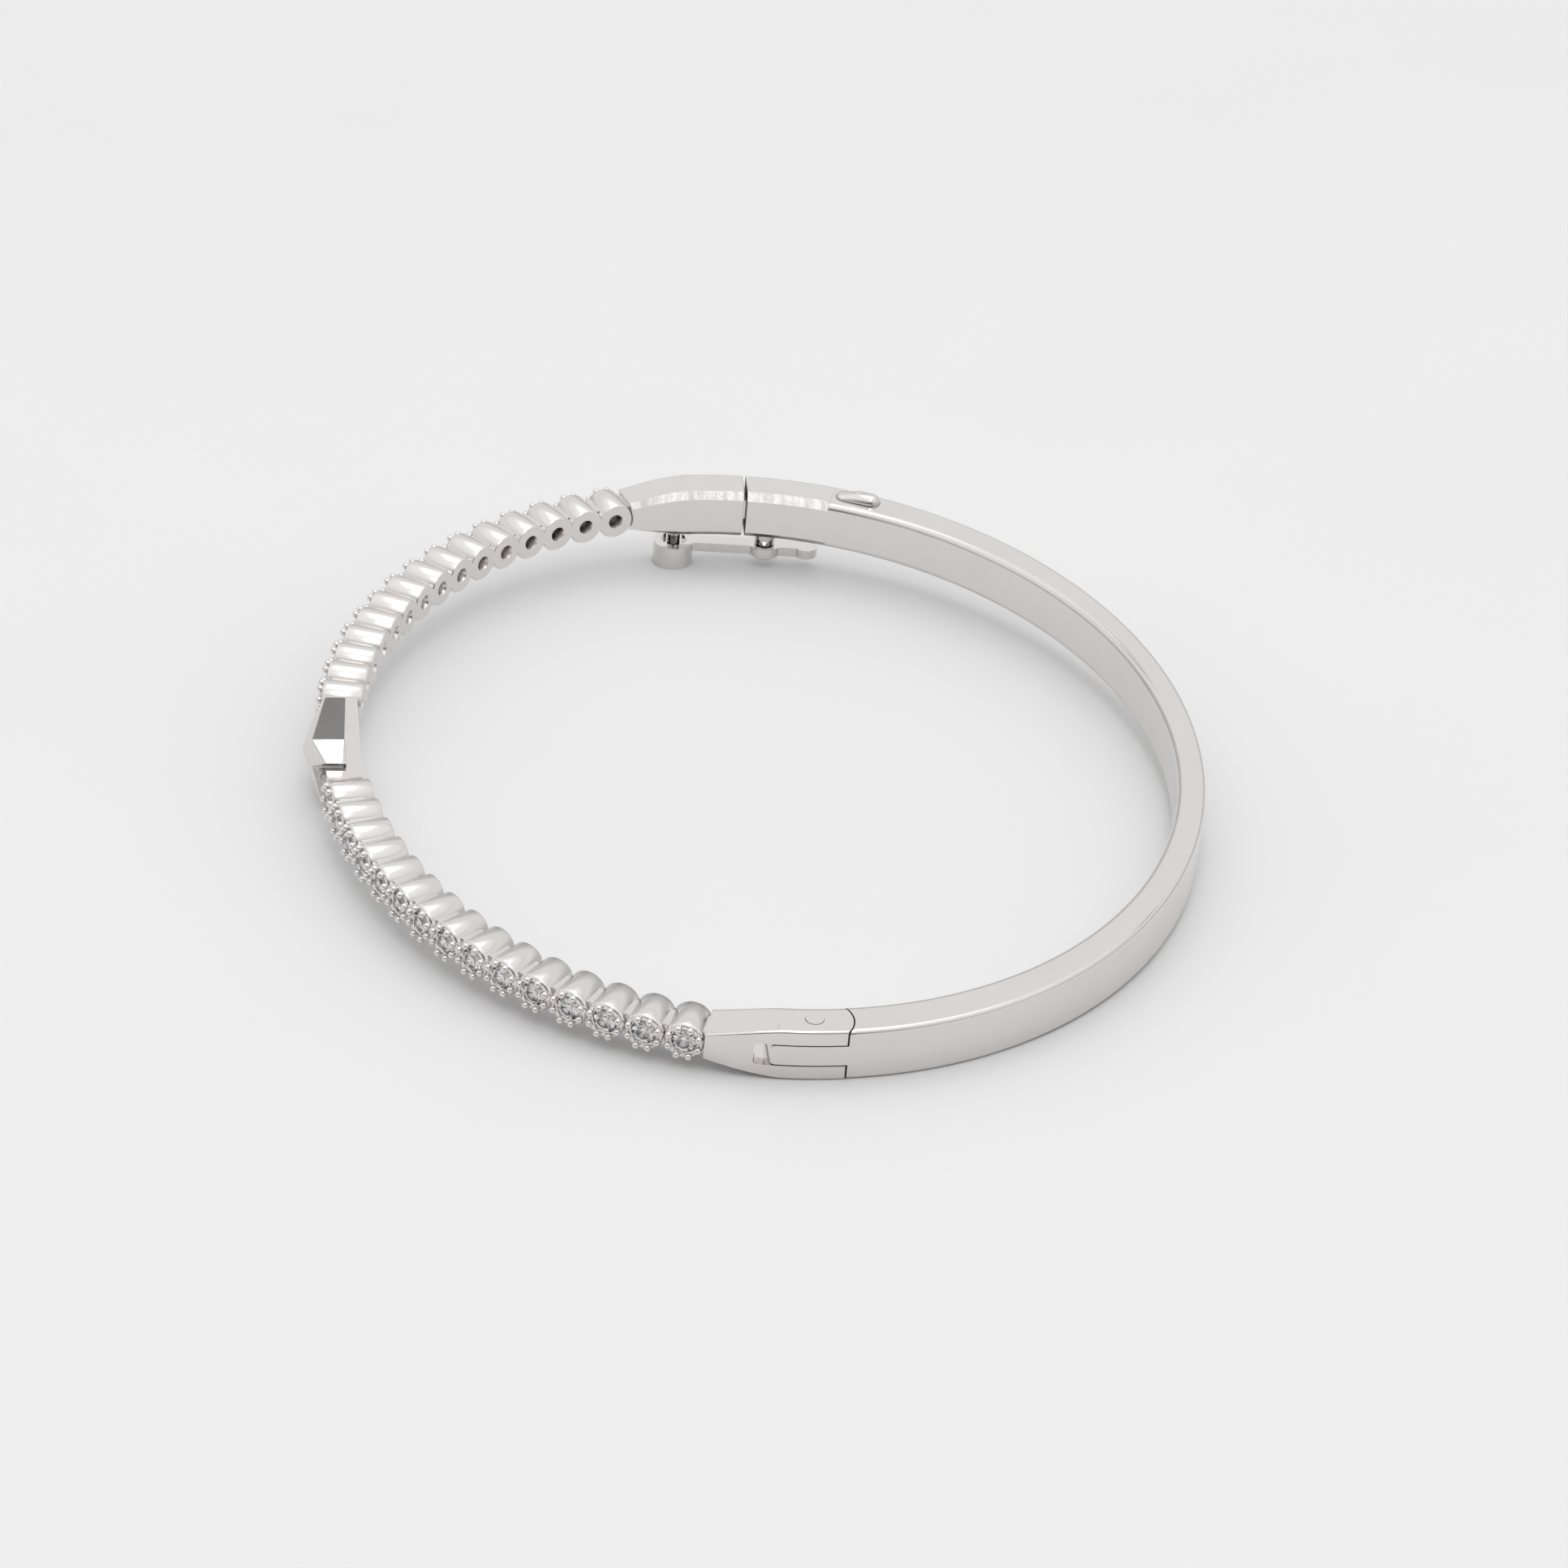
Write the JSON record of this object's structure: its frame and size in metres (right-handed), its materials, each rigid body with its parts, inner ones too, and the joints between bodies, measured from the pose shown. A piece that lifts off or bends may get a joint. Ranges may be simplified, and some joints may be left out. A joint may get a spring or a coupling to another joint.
{
  "type": "hinged bangle bracelet",
  "caption": "Oval hinged bangle bracelet: polished back half, front half of round collet-set stones with a star at its centre, tongue clasp with a release button, and a safety latch.",
  "frame": {"origin": "centre of the wrist opening at half the band's height", "axes": "+Z along the wrist, +X to the plain back of the band, -X to the star, -Y to the hinge, +Y to the clasp"},
  "size_m": [0.0522, 0.061, 0.0074],
  "materials": {
    "polished_silver": "mirror-polished rhodium-plated silver",
    "cast_silver": "tumbled bright casting, softer between the collets",
    "cubic_zirconia": "faceted and polished, colourless",
    "spring_steel": "drawn wire"
  },
  "bodies": {
    "front_half": {"catch_peg": "polished_silver", "clasp_shoulder": "polished_silver", "clasp_tongue": "polished_silver", "hinge_pin": "polished_silver", "hinge_shoulder": "polished_silver", "setting_row_clasp_side": "cast_silver", "setting_row_hinge_side": "cast_silver", "star": "polished_silver", "star_bridge": "polished_silver", "stone_clasp_side_01": "cubic_zirconia", "stone_clasp_side_02": "cubic_zirconia", "stone_clasp_side_03": "cubic_zirconia", "stone_clasp_side_04": "cubic_zirconia", "stone_clasp_side_05": "cubic_zirconia", "stone_clasp_side_06": "cubic_zirconia", "stone_clasp_side_07": "cubic_zirconia", "stone_clasp_side_08": "cubic_zirconia", "stone_clasp_side_09": "cubic_zirconia", "stone_clasp_side_10": "cubic_zirconia", "stone_clasp_side_11": "cubic_zirconia", "stone_clasp_side_12": "cubic_zirconia", "stone_clasp_side_13": "cubic_zirconia", "stone_clasp_side_14": "cubic_zirconia", "stone_clasp_side_15": "cubic_zirconia", "stone_hinge_side_01": "cubic_zirconia", "stone_hinge_side_02": "cubic_zirconia", "stone_hinge_side_03": "cubic_zirconia", "stone_hinge_side_04": "cubic_zirconia", "stone_hinge_side_05": "cubic_zirconia", "stone_hinge_side_06": "cubic_zirconia", "stone_hinge_side_07": "cubic_zirconia", "stone_hinge_side_08": "cubic_zirconia", "stone_hinge_side_09": "cubic_zirconia", "stone_hinge_side_10": "cubic_zirconia", "stone_hinge_side_11": "cubic_zirconia", "stone_hinge_side_12": "cubic_zirconia", "stone_hinge_side_13": "cubic_zirconia", "stone_hinge_side_14": "cubic_zirconia", "stone_hinge_side_15": "cubic_zirconia"},
    "back_half": {"back_band": "polished_silver", "clasp_box": "polished_silver", "latch_rivet": "polished_silver"},
    "release_button": {"release_button": "polished_silver", "catch_arm": "polished_silver", "button_spring": "spring_steel"},
    "safety_latch": {"safety_latch": "polished_silver"}
  },
  "joints": [
    {"name": "hinge_swing", "type": "hinge", "parent": "front_half", "child": "back_half", "pos_m": [-0.00005, -0.0292, 0], "axis": [0, 0, -1], "range_deg": [0, 60]},
    {"name": "latch_swing", "type": "hinge", "parent": "back_half", "child": "safety_latch", "pos_m": [0.00339, 0.02899, 0], "axis": [0, 0, 1], "range_deg": [0, 75]},
    {"name": "button_press", "type": "slide", "parent": "back_half", "child": "release_button", "axis": [0, 0, -1], "range_m": [0, 0.00035], "stiffness_N_per_m": 1200, "springref_m": -0.0003, "deforming": ["button_spring"]}
  ]
}
